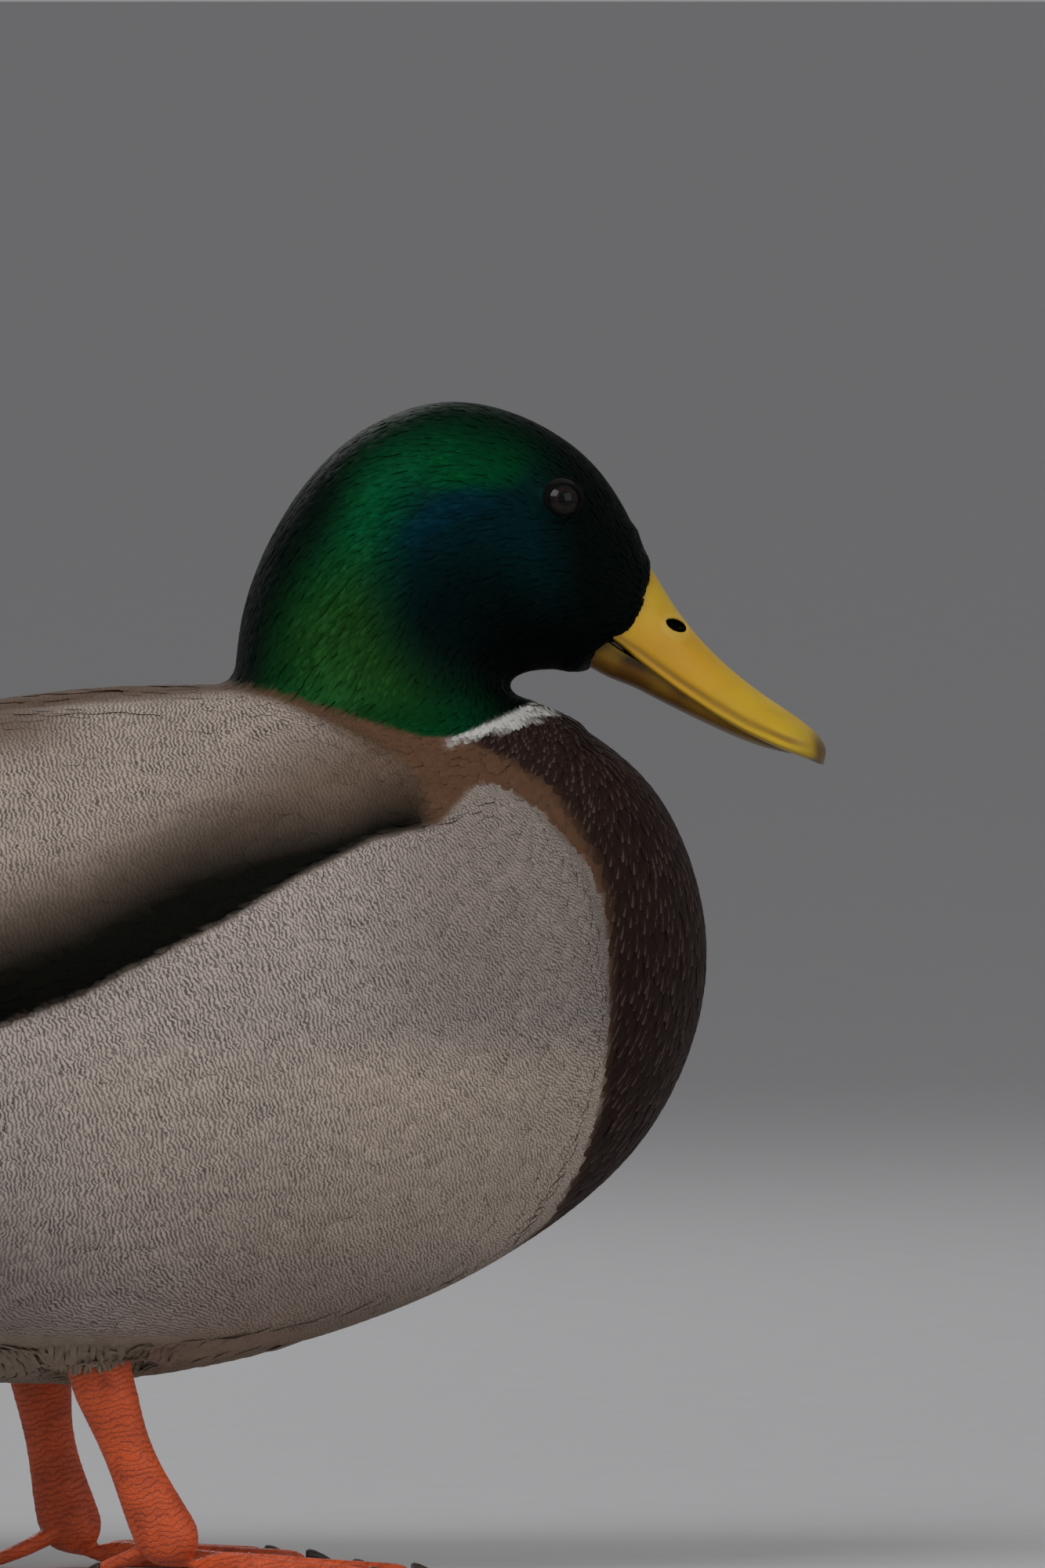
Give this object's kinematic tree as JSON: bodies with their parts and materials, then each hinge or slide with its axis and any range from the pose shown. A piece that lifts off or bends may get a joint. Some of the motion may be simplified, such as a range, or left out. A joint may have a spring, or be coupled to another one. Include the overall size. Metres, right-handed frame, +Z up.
{
  "type": "standing mallard duck",
  "caption": "Life-size drake mallard standing still, neck drawn in, green head, yellow bill, grey folded wings, curled black tail coverts and orange webbed feet.",
  "frame": {"origin": "on the floor, under the middle of the box round the whole bird", "axes": "+X the way the drake faces, +Y to its left, +Z up"},
  "size_m": [0.3788, 0.1314, 0.2481],
  "materials": {
    "green_plumage": "glossy iridescent green feathers of the head and neck",
    "grey_plumage": "soft grey feathers with fine dark waves; purple-brown on the breast and black at the rump in the finished looks",
    "pale_plumage": "pale grey-brown tail feathers with whitish edges",
    "black_plumage": "satin black curled coverts",
    "brown_plumage": "grey-brown scapulars and wing feathers",
    "bill": "smooth yellow horn with a slight shine",
    "leg": "orange-red scaly skin",
    "claw": "dark horn",
    "eye": "wet dark brown eye"
  },
  "bodies": {
    "root": {"head": "green_plumage", "neck": "green_plumage", "trunk": "grey_plumage", "tail": "pale_plumage", "tail_curl_left": "black_plumage", "tail_curl_right": "black_plumage", "flank_left": "grey_plumage", "flank_right": "grey_plumage", "wing_left": "brown_plumage", "wing_right": "brown_plumage", "wing_tip_left": "brown_plumage", "wing_tip_right": "brown_plumage", "bill_upper": "bill", "bill_lower": "bill", "eye_left": "eye", "eye_right": "eye", "shank_left": "grey_plumage", "shank_right": "grey_plumage", "tarsus_left": "leg", "tarsus_right": "leg", "foot_left": "leg", "foot_right": "leg", "hind_toe_left": "leg", "hind_toe_right": "leg", "claw_left_inner": "claw", "claw_left_middle": "claw", "claw_left_outer": "claw", "claw_left_hind": "claw", "claw_right_inner": "claw", "claw_right_middle": "claw", "claw_right_outer": "claw", "claw_right_hind": "claw"}
  },
  "joints": []
}
